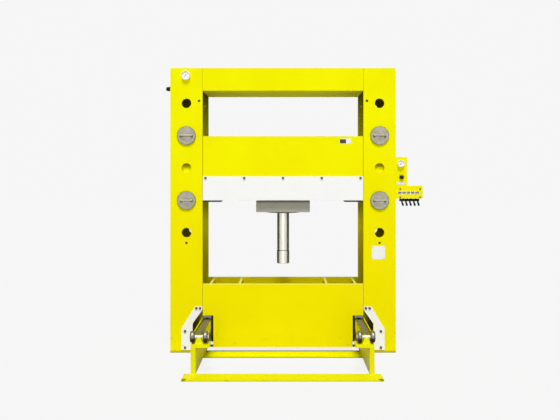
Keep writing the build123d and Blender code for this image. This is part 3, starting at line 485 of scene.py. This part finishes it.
def surface_piece(name, grids, body, material, ring=False, smooth=True):
    """One piece from grids of points (rows by columns by 3), each closed round its columns.

    A grid is capped at its first and last rows, or its last row joins its first where ring is true.
    """
    vertices, faces, offset = [], [], 0
    for points in grids:
        rows, columns = points.shape[:2]
        index = np.arange(rows * columns).reshape(rows, columns)
        index = np.hstack([index, index[:, :1]])
        if ring:
            index = np.vstack([index, index[:1]])
        corners = [index[:-1, :-1], index[:-1, 1:], index[1:, 1:], index[1:, :-1]]
        form = [tuple(quad) for quad in np.stack(corners, axis=-1).reshape(-1, 4).tolist()]
        if not ring:
            form.append(tuple(reversed(range(columns))))
            form.append(tuple(range((rows - 1) * columns, rows * columns)))
        flat = points.reshape(-1, 3)
        form = outward(flat - flat.mean(axis=0), form)
        faces.extend(tuple(i + offset for i in face) for face in form)
        vertices.append(flat)
        offset += rows * columns
    mesh = bpy.data.meshes.new(name)
    mesh.from_pydata(np.vstack(vertices).tolist(), [], faces)
    mesh.update()
    if smooth:
        mesh.shade_smooth()
    piece = bpy.data.objects.new(name, mesh)
    bpy.context.collection.objects.link(piece)
    mesh.materials.append(material)
    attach(piece, body)
    return piece


def weld_bead(start, end, radius, pitch=0.009, around=10):
    """A weld bead between two points.

    The centre runs straight from start to end. The radius at distance s is r (1 + 0.14 cos(2 pi s / pitch)),
    so the bead shows the ripples that each weave leaves, and it tapers to 60 % over the last pitch.
    """
    start, end = np.array(start, float), np.array(end, float)
    length = np.linalg.norm(end - start)
    steps = min(max(8, int(length / pitch * 4)), 420)
    s = np.linspace(0, length, steps)
    along = (end - start) / length
    helper = np.array([0, 0, 1.0]) if abs(along[2]) < 0.9 else np.array([1.0, 0, 0])
    side = np.cross(along, helper)
    side /= np.linalg.norm(side)
    up = np.cross(side, along)
    ends = np.clip(np.minimum(s, length - s) / pitch, 0, 1)
    r = radius * (1 + 0.14 * np.cos(2 * np.pi * s / pitch)) * (0.6 + 0.4 * ends)
    angle = np.linspace(0, 2 * np.pi, around, endpoint=False)
    ring = np.cos(angle)[:, None] * side + np.sin(angle)[:, None] * up
    return start + s[:, None, None] * along + r[:, None, None] * ring[None, :, :]


def turned(profile, centre, around=48):
    """A turned form about a line along Y.

    The profile is a list of (radius, y); the point at turn t is (r cos t, y, r sin t) from the centre.
    """
    profile = np.array(profile, float)
    angle = np.linspace(0, 2 * np.pi, around, endpoint=False)
    ring = np.stack([np.cos(angle), np.zeros(around), np.sin(angle)], axis=-1)
    radial = profile[:, 0][:, None, None] * ring[None]
    depth = np.zeros_like(radial)
    depth[..., 1] = profile[:, 1][:, None]
    return np.array(centre, float) + radial + depth


def torus_about_y(centre, radius, across, along, around=56, section=12):
    """A rounded ring about a line along Y.

    At section turn s the profile is (radius + across cos s, along sin s), turned about the line.
    """
    s = np.linspace(0, 2 * np.pi, section, endpoint=False)
    profile = np.stack([radius + across * np.cos(s), along * np.sin(s)], axis=-1)
    return turned(profile, centre, around)


def flat_bar(start, end, wide, thick):
    """A thin bar in the X-Z plane from start to end.

    Its section is a rectangle of start +- wide/2 across and +- thick/2 along Y.
    """
    start, end = np.array(start, float), np.array(end, float)
    along = (end - start) / np.linalg.norm(end - start)
    side = np.array([-along[2], 0, along[0]]) * wide / 2
    depth = np.array([0, thick / 2, 0])
    corners = np.array([side + depth, side - depth, -side - depth, -side + depth])
    return np.stack([start + corners, end + corners])


def dome(centre, radius, height, rows=5, around=14):
    """A low dome that looks to the front.

    At t from 0 to nearly a right angle the radius is r cos t and the rise h sin t.
    """
    t = np.linspace(0, np.pi / 2 * 0.94, rows)
    profile = np.stack([radius * np.cos(t), -height * np.sin(t)], axis=-1)
    return turned(np.vstack([[radius, 0.0005], profile]), centre, around)


def camera_and_light():
    """The camera at the photograph's place, an even studio light and a pale floor."""
    camera_data = bpy.data.cameras.new("camera")
    camera = bpy.data.objects.new("camera", camera_data)
    bpy.context.collection.objects.link(camera)
    metres = MM_PER_PIXEL / 1000
    camera.location = (
        (VANISHING_X - FRAME_CENTRE_X) * metres,
        FRONT - CAMERA_DISTANCE,
        (FLOOR_Y - VANISHING_Y) * metres,
    )
    camera.rotation_euler = (math.pi / 2, 0, 0)
    camera_data.sensor_width = 36
    camera_data.lens = CAMERA_DISTANCE / metres * 36 / IMAGE_WIDTH
    camera_data.shift_x = (IMAGE_WIDTH / 2 - VANISHING_X) / IMAGE_WIDTH
    camera_data.shift_y = (VANISHING_Y - IMAGE_HEIGHT / 2) / IMAGE_WIDTH
    bpy.context.scene.camera = camera
    for name, strength, tilt, angle in (
        ("overhead_light", 2.62, 30, 18),
        ("front_light", 0.52, 88, 34),
    ):
        sun = bpy.data.lights.new(name, "SUN")
        sun.energy = strength
        sun.angle = math.radians(angle)
        lamp = bpy.data.objects.new(name, sun)
        lamp.rotation_euler = (math.radians(tilt), 0, 0)
        bpy.context.collection.objects.link(lamp)


def seen_rays(tree):
    """One for camera, glossy and transmission rays, and zero for the rays that carry diffuse light."""
    path = add_node(tree, "ShaderNodeLightPath").outputs
    total = calculate(tree, "ADD", path["Is Camera Ray"], path["Is Glossy Ray"])
    return calculate(tree, "ADD", total, path["Is Transmission Ray"], held=True)


def dark_flags():
    """Dark studio screens behind and beside the press, which only its glossy faces see."""
    material = bpy.data.materials.new("black_screen_cloth")
    material.use_nodes = True
    tree = material.node_tree
    tree.nodes.clear()
    cloth = add_node(tree, "ShaderNodeEmission", Color=linear("#2E2C26"), Strength=1.0)
    output = add_node(tree, "ShaderNodeOutputMaterial")
    tree.links.new(cloth.outputs[0], output.inputs[0])
    for name, (x0, y0), (x1, y1) in (
        ("screen_behind", (-4.5, 2.6), (4.5, 2.6)),
        ("screen_left", (-4.5, -1.4), (-4.5, 2.6)),
        ("screen_right", (4.5, -1.4), (4.5, 2.6)),
    ):
        mesh = bpy.data.meshes.new(name)
        corners = [(x0, y0, 0.01), (x1, y1, 0.01), (x1, y1, 5.0), (x0, y0, 5.0)]
        mesh.from_pydata(corners, [], [(0, 1, 2, 3)])
        screen = bpy.data.objects.new(name, mesh)
        bpy.context.collection.objects.link(screen)
        mesh.materials.append(material)
        screen.visible_camera = False
        screen.visible_diffuse = False
        screen.visible_shadow = False
        screen.visible_transmission = False


def surroundings():
    """A white background for what sees it, a soft sky for diffuse light, and a floor with the shadow."""
    world = bpy.data.worlds.new("studio")
    bpy.context.scene.world = world
    world.use_nodes = True
    tree = world.node_tree
    tree.nodes.clear()
    sky = add_node(tree, "ShaderNodeBackground", Color=(1, 1, 1, 1), Strength=0.3)
    seen = add_node(tree, "ShaderNodeBackground", Color=linear(BACKGROUND), Strength=1.0)
    both = add_node(tree, "ShaderNodeMixShader", i0=seen_rays(tree), i1=sky.outputs[0], i2=seen.outputs[0])
    output = add_node(tree, "ShaderNodeOutputWorld")
    tree.links.new(both.outputs[0], output.inputs[0])
    size = 40.0
    mesh = bpy.data.meshes.new("floor")
    corners = [(-size, -size, 0), (size, -size, 0), (size, size, 0), (-size, size, 0)]
    mesh.from_pydata(corners, [], [(0, 1, 2, 3)])
    floor = bpy.data.objects.new("floor", mesh)
    bpy.context.collection.objects.link(floor)
    material = bpy.data.materials.new("pale_floor")
    material.use_nodes = True
    tree = material.node_tree
    tree.nodes.clear()
    plain = add_node(tree, "ShaderNodeBsdfDiffuse", Color=linear("#D4D4D4"))
    glow = add_node(tree, "ShaderNodeEmission", Color=linear("#FAFAFA"), Strength=1.0)
    share = multiply(tree, seen_rays(tree), 0.88)
    both = add_node(tree, "ShaderNodeMixShader", i0=share, i1=plain.outputs[0], i2=glow.outputs[0])
    output = add_node(tree, "ShaderNodeOutputMaterial")
    tree.links.new(both.outputs[0], output.inputs[0])
    mesh.materials.append(material)
    dark_flags()
    bpy.context.scene.view_settings.view_transform = "Standard"


def dress(names, material):
    """Give CAD nodes a material."""
    for name in names:
        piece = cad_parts[name]
        piece.data.materials.clear()
        piece.data.materials.append(material)


def dress_frame():
    """Finishes of every CAD node, and the finishes that the new pieces share."""
    nodes = sorted(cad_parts)
    yellow = yellow_enamel("yellow_enamel")
    yellow_beam = yellow_enamel("yellow_enamel_beam", extra=hole_shade)
    yellow_table = yellow_enamel("yellow_enamel_table", extra=notch_shade_and_edge_highlights)
    yellow_front = yellow_enamel("yellow_enamel_seamed", extra=seam_and_foot_shade, gloss=0.1)
    yellow_channel = yellow_enamel("yellow_enamel_channel_shaded", extra=painted_channel_shade)
    yellow_floor = yellow_enamel(
        "yellow_enamel_floor", YELLOW_FLOOR_SHADED, YELLOW_FLOOR_SHADED, wear=0.6, extra=anchor_rust_and_tie_shade,
    )
    yellow_rail = yellow_enamel(
        "yellow_enamel_rail", YELLOW_RAIL, YELLOW_RAIL, wear=0.5, extra=rail_track_and_shade, gloss=0.12,
    )
    yellow_bracket = yellow_enamel(
        "yellow_enamel_bracket", YELLOW_FLOOR_SHADED, YELLOW_FLOOR_SHADED, wear=0.5, extra=bright_axle,
    )
    white = sprayed_enamel("white_enamel", WHITE_ENAMEL, "#E6E4DD", dirt_share=0.12)
    strap_white = sprayed_enamel("white_enamel_strap", WHITE_ENAMEL, "#E4E2DB", dirt_share=0.15)
    grey = sprayed_enamel("grey_enamel", GREY_ENAMEL, "#807E72", roughness=0.45, extra=shaded_block)
    pins = turned_steel("turned_pin_steel", "#A29F8F", "#8A8675", 0.5, (1.0, 0.05, 1.0), extra=handled_head)
    wheels = turned_steel("rolled_wheel_steel", "#8E8C86", "#5C574E", 0.45, (1.0, 0.05, 0.05))
    rollers = turned_steel(
        "wiped_roller_steel", "#8D8A80", "#605D54", 0.42, (1.0, 0.05, 0.05), extra=lower_half_shade,
    )
    gland = turned_steel("oiled_black_gland", "#302E24", "#1E1D17", 0.5, (1.0, 1.0, 0.05))
    zinc = turned_steel("dulled_zinc_bolts", "#5F5B53", "#45413A", 0.5, (1.0, 0.1, 1.0))
    chrome = chromed_rod("hard_chrome_rod")
    jointed = chromed_rod("hard_chrome_rod_with_dark_joint", joint=True)
    black = moulded_black("black_enamel_steel", "#0D0D0B", 0.6, specular=0.15)
    stops = moulded_black("olive_enamel_stops", "#46432C", 0.6, specular=0.2)
    phenolic = moulded_black("black_phenolic", "#070706", 0.4, specular=0.2)
    dials = printed_dial("lacquered_dial")
    cases = sprayed_enamel("gauge_case_enamel", "#F4F3EF", "#DCDAD2", roughness=0.3)
    etched = moulded_black("etched_plate_field", "#4A4744", 0.6, specular=0.2)
    plate = sprayed_enamel("blank_aluminium_plate", "#EDEDEA", "#D9D7D0", roughness=0.4)
    dress([n for n in nodes if n.startswith("bolster_")], yellow)
    dress(["bolster_beams"], yellow_beam)
    dress([n for n in nodes if n.startswith("table_")], yellow_table)
    dress(["crosshead", "left_upright_front_plate", "right_upright_front_plate"], yellow_front)
    dress(["upright_rear_plates", "upright_side_plates", "upright_top_plates"], yellow_channel)
    dress(["control_panel", "rear_tie"], yellow)
    dress(["foot_bar", "floor_ties"], yellow_floor)
    dress(["left_roller_bracket", "right_roller_bracket"], yellow_bracket)
    dress(["left_rail", "right_rail"], yellow_rail)
    dress(["bolster_cover"], white)
    dress(["toe_plates"], strap_white)
    dress(["workhead_block", "cylinder_barrel", "carriage_plate"], grey)
    dress(PIN_NAMES, pins)
    dress(["ram_nose", "piston"], chrome)
    dress(["ram_rod"], jointed)
    dress(["gland_ring"], gland)
    dress(["table_wheel_pins", "table_runners"], wheels)
    dress([n for n in nodes if n.endswith("table_wheel")], wheels)
    dress([n for n in nodes if n.endswith("_roller")], rollers)
    dress(["hex_bolts"], zinc)
    dress(["travel_stops"], stops)
    dress(["side_fitting", "valve_bank", "table_guide_plates"], black)
    dress(["pressure_knob"] + [n for n in nodes if n.startswith("valve_lever")], phenolic)
    dress(["left_gauge_needle", "right_gauge_needle"], phenolic)
    dress(["gauge_dials"], dials)
    dress(["gauge_cases"], cases)
    dress(["blank_plates"], plate)
    return {
        "yellow": yellow, "floor": yellow_floor, "rail": yellow_rail, "pins": pins, "cases": cases,
        "plate": plate, "etched": etched, "zinc": zinc, "black": black, "ink": phenolic,
    }


def number_mesh(text, size):
    """The outline of a number as a flat filled mesh, centred on its own middle."""
    curve = bpy.data.curves.new("number", "FONT")
    curve.body = text
    curve.size = size
    curve.align_x = "CENTER"
    curve.align_y = "CENTER"
    curve.extrude = 0.0001
    holder = bpy.data.objects.new("number", curve)
    bpy.context.collection.objects.link(holder)
    bpy.context.view_layer.update()
    mesh = bpy.data.meshes.new_from_object(holder.evaluated_get(bpy.context.evaluated_depsgraph_get()))
    bpy.data.objects.remove(holder)
    bpy.data.curves.remove(curve)
    return mesh


def gauge_numbers(name, centre, radius, size, texts, ink):
    """Plain numbers round a dial, from low on the left, over the top, to low on the right."""
    points, faces, offset = [], [], 0
    for k, text in enumerate(texts):
        turn = math.radians(DIAL_START - DIAL_SWEEP * k / (len(texts) - 1))
        mesh = number_mesh(text, size)
        flat = np.empty(len(mesh.vertices) * 3)
        mesh.vertices.foreach_get("co", flat)
        flat = flat.reshape(-1, 3)
        upright = np.stack([flat[:, 0], -flat[:, 2], flat[:, 1]], axis=-1)
        place = np.array(centre) + radius * np.array([math.cos(turn), 0, math.sin(turn)])
        points.append(upright + place)
        faces.extend(tuple(i + offset for i in polygon.vertices) for polygon in mesh.polygons)
        offset += len(flat)
        bpy.data.meshes.remove(mesh)
    mesh = bpy.data.meshes.new(name)
    mesh.from_pydata(np.vstack(points).tolist(), [], faces)
    mesh.update()
    piece = bpy.data.objects.new(name, mesh)
    bpy.context.collection.objects.link(piece)
    mesh.materials.append(ink)
    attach(piece, "frame")


def gauge_details(shared):
    """Rolled rim, window, scale marks and numbers of both gauges."""
    glass = window_glass("acrylic_window")
    rim_front = CASE_LOW[1]
    dial_face = rim_front + 0.008
    for name, x, z, size, texts in (
        (
            "frame_gauge", CASE_LOW[0] + FRAME_GAUGE / 2, CASE_HIGH[2] - FRAME_GAUGE / 2, FRAME_GAUGE,
            ["0", "100", "200", "300", "400"],
        ),
        (
            "panel_gauge", CASE_HIGH[0] - PANEL_GAUGE / 2, CASE_LOW[2] + PANEL_GAUGE / 2, PANEL_GAUGE,
            ["0", "10", "20", "30", "40"],
        ),
    ):
        radius = size / 2 - 0.005
        rim = torus_about_y((x, rim_front, z), size / 2 - 0.003, 0.0026, 0.0022)
        surface_piece(f"{name}_rim", [rim], "frame", shared["cases"], ring=True)
        lens_back = rim_front + 0.0035
        r = radius * np.sin(np.linspace(0.02, np.pi / 2, 9))
        front = np.stack([r, lens_back - 0.0012 - 0.0020 * (1 - (r / radius) ** 2)], axis=-1)
        lens = np.vstack([front, [[radius, lens_back], [0.001, lens_back]]])
        surface_piece(f"{name}_window", [turned(lens, (x, 0, z))], "frame", glass)
        marks = []
        for k in range(DIAL_MARKS):
            turn = math.radians(DIAL_START - DIAL_SWEEP * k / (DIAL_MARKS - 1))
            way = np.array([math.cos(turn), 0, math.sin(turn)])
            middle = np.array([x, dial_face - 0.0001, z])
            long = 0.005 if k % 5 == 0 else 0.003
            start = middle + way * (radius - 0.002 - long)
            marks.append(flat_bar(start, start + way * long, 0.0009 if k % 5 == 0 else 0.0005, 0.0002))
        surface_piece(f"{name}_marks", marks, "frame", shared["ink"], smooth=False)
        face = (x, dial_face - 0.00015, z)
        gauge_numbers(f"{name}_numbers", face, radius - 0.013, 0.0075, texts, shared["ink"])


def frame_welds(shared):
    """Fillet welds of the rails, end plates, roller brackets and floor ties."""
    beads = {"rail": [], "floor": []}
    front, top = RAIL_LOW[1], FLOOR_PLATE
    under_plate = END_PLATE_TOP - 0.028
    under_rail = RAIL_TOP - RAIL_TOP_PLATE
    for s in (-1, 1):
        inner, outer = s * RAIL_INNER, s * RAIL_OUTER
        beads["floor"] += [
            weld_bead((inner, front - 0.001, top), (outer, front - 0.001, top), 0.006),
            weld_bead((inner, front, top), (inner, front + 0.023, top), 0.006),
            weld_bead((inner, TIE_FRONT, top), (inner, TIE_REAR, top), 0.006),
        ]
        beads["rail"] += [
            weld_bead(
                (inner, front + 0.002, under_plate), (inner, front + END_PLATE_LENGTH, under_plate), 0.006,
            ),
            weld_bead(
                (inner, front + END_PLATE_LENGTH + 0.002, under_rail),
                (inner, -FRONT - FRAME_PLATE - 0.002, under_rail), 0.006, 0.014,
            ),
        ]
        near, far = s * (BRACKET_X - BRACKET_HALF), s * (BRACKET_X + BRACKET_HALF)
        for y in (AXLE_Y - 0.022, AXLE_Y + 0.022):
            beads["rail"].append(weld_bead((near, y, END_PLATE_TOP), (far, y, END_PLATE_TOP), 0.005))
    surface_piece("rail_and_bracket_welds", beads["rail"], "frame", shared["rail"])
    surface_piece("foot_and_tie_welds", beads["floor"], "frame", shared["floor"])


def table_welds(shared):
    """Fillet welds in the upright corners of the table's box."""
    beads = []
    high = TABLE_HIGH[2] - 0.014
    for x, low in ((INNER_CROSS_X, INNER_CROSS_FOOT), (OUTER_CROSS_X, OUTER_CROSS_FOOT)):
        for s in (-1, 1):
            for edge in (s * (x - TABLE_PLATE / 2), s * (x + TABLE_PLATE / 2)):
                for y in (TABLE_LOW[1] + TABLE_PLATE, TABLE_REAR):
                    beads.append(weld_bead((edge, y, low), (edge, y, high), 0.005, 0.012, 8))
    surface_piece("table_corner_welds", beads, "table", shared["yellow"])


def pin_welds(shared):
    """The weld round each foot of a pin's bar handle."""
    for (x, z), pin in zip(PIN_CENTRES, PIN_NAMES):
        feet = [(x + s * HANDLE_FOOT, PIN_HEAD_FRONT, z) for s in (-1, 1)]
        rings = [torus_about_y(foot, 0.0085, 0.0032, 0.0032, 28, 10) for foot in feet]
        surface_piece(f"{pin}_handle_welds", rings, f"{pin}_body", shared["pins"], ring=True)


def plate_rivets(shared):
    """Round-headed rivets near the corners of the blank plates.

    Each row holds a plate's left, right, bottom and top edge, the rivets' inset and their radius.
    """
    heads = []
    for x0, x1, z0, z1, inset, radius in (
        (0.601, 0.726, 2.2145, 2.2675, 0.007, 0.0035),
        (0.943, 1.081, 0.988, 1.131, 0.009, 0.004),
        (1.211, 1.449, 1.682, 1.712, 0.007, 0.0035),
        (1.208, 1.288, 1.783, 1.815, 0.006, 0.003),
    ):
        for x in (x0 + inset, x1 - inset):
            for z in (z0 + inset, z1 - inset):
                heads.append(dome((x, TAG_FACE, z), radius, radius * 0.55))
    surface_piece("plate_rivets", heads, "frame", shared["zinc"])


def lever_grips(shared):
    """A swelling rubber grip on each lever, from its boss to its ball, turned about the lever's own line.

    At share u along the lever the radius is 8.5 mm + 2 mm u + 0.5 mm cos(2 pi 5 u).
    The line slants to the right.
    """
    way = np.array([math.sin(LEVER_SLANT), 0, -math.cos(LEVER_SLANT)])
    across = np.array([math.cos(LEVER_SLANT), 0, math.sin(LEVER_SLANT)])
    u = np.linspace(0, 1, 26)
    radius = 0.0085 + 0.002 * u + 0.0005 * np.cos(2 * np.pi * 5 * u)
    angle = np.linspace(0, 2 * np.pi, 20, endpoint=False)
    ring = np.cos(angle)[:, None] * across + np.sin(angle)[:, None] * np.array([0, 1.0, 0])
    for i in range(LEVERS):
        low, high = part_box(f"valve_lever_{i + 1}")
        pivot = np.array([low[0] + 0.013, (low[1] + high[1]) / 2, high[2] - 0.013])
        centre = pivot + way * (0.014 + 0.038 * u)[:, None]
        points = centre[:, None, :] + radius[:, None, None] * ring[None]
        surface_piece(f"lever_{i + 1}_grip", [points], f"lever_{i + 1}", shared["ink"])


def tapered_bar(start, end, wide, narrow, thick):
    """A thin wedge in the X-Z plane that narrows from start to end."""
    bar = flat_bar(start, end, wide, thick)
    middle = bar[1].mean(axis=0)
    bar[1] = middle + (bar[1] - middle) * np.array([narrow / wide, 1, narrow / wide])
    return bar


def valve_signs(shared):
    """Five dark fields along the valve strip, each with a pale arrow up and one down, and the tag's field."""
    skin, half_field, half_arrow, tag_z = TAG_FACE - 0.0001, 0.018, 0.008, 2.241
    fields, arrows = [], []
    for i in range(LEVERS):
        x = FIRST_SIGN_X + SIGN_PITCH * i
        left, right = (x - half_field, skin, STRIP_Z), (x + half_field, skin, STRIP_Z)
        fields.append(flat_bar(left, right, 0.0215, 0.0004))
        for s in (-1, 1):
            tip = np.array([x + s * half_arrow, TAG_FACE - 0.0004, STRIP_Z + s * half_arrow])
            foot = tip - np.array([0, 0, s * 2 * half_arrow])
            arrows.append(tapered_bar(foot, tip, 0.0075, 0.0008, 0.0003))
    fields.append(flat_bar((0.603, skin, tag_z), (0.668, skin, tag_z), 0.043, 0.0004))
    surface_piece("plate_fields", fields, "frame", shared["etched"], smooth=False)
    surface_piece("valve_arrows", arrows, "frame", shared["plate"], smooth=False)


def knob_pointer(shared):
    """The pale line let into the pressure knob's face, from near its middle to its edge."""
    low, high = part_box("pressure_knob")
    x, y, z = (low[0] + high[0]) / 2, low[1] + 0.0001, (low[2] + high[2]) / 2
    line = flat_bar((x, y, z + 0.006), (x, y, z + 0.019), 0.003, 0.0008)
    surface_piece("knob_pointer", [line], "knob", shared["plate"], smooth=False)


def fitting_collar(shared):
    """The round ribs of the side fitting's nose, turned about a line along X.

    At distance s from the flange the radius is that of the nose's cone, c(s) = 26 mm - 8 mm s / 50 mm,
    raised by 0.2 mm + 1.2 mm max(0, cos(2 pi s / 9 mm)).
    """
    low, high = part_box("side_fitting")
    y, z = (low[1] + high[1]) / 2, (low[2] + high[2]) / 2
    s = np.linspace(0.012, 0.046, 44)
    root, tip, length, pitch, around = 0.026, 0.018, 0.050, 0.009, 36
    ribs = 0.0012 * np.maximum(0, np.cos(2 * np.pi * s / pitch))
    radius = root - (root - tip) * s / length + ribs + 0.0002
    angle = np.linspace(0, 2 * np.pi, around, endpoint=False)
    ring = np.stack([np.zeros(around), np.cos(angle), np.sin(angle)], axis=-1)
    points = np.array([high[0], y, z]) + radius[:, None, None] * ring[None]
    points[..., 0] -= s[:, None]
    surface_piece("side_fitting_ribs", [points], "frame", shared["black"])


def finish():
    """Hold a helper that turns a box's corners into plain lists of floats; nothing is written."""
    def plain(box):
        return [[float(v) for v in corner] for corner in box]


camera_and_light()
surroundings()
finishes = dress_frame()
gauge_details(finishes)
frame_welds(finishes)
table_welds(finishes)
pin_welds(finishes)
plate_rivets(finishes)
lever_grips(finishes)
valve_signs(finishes)
knob_pointer(finishes)
fitting_collar(finishes)
finish()
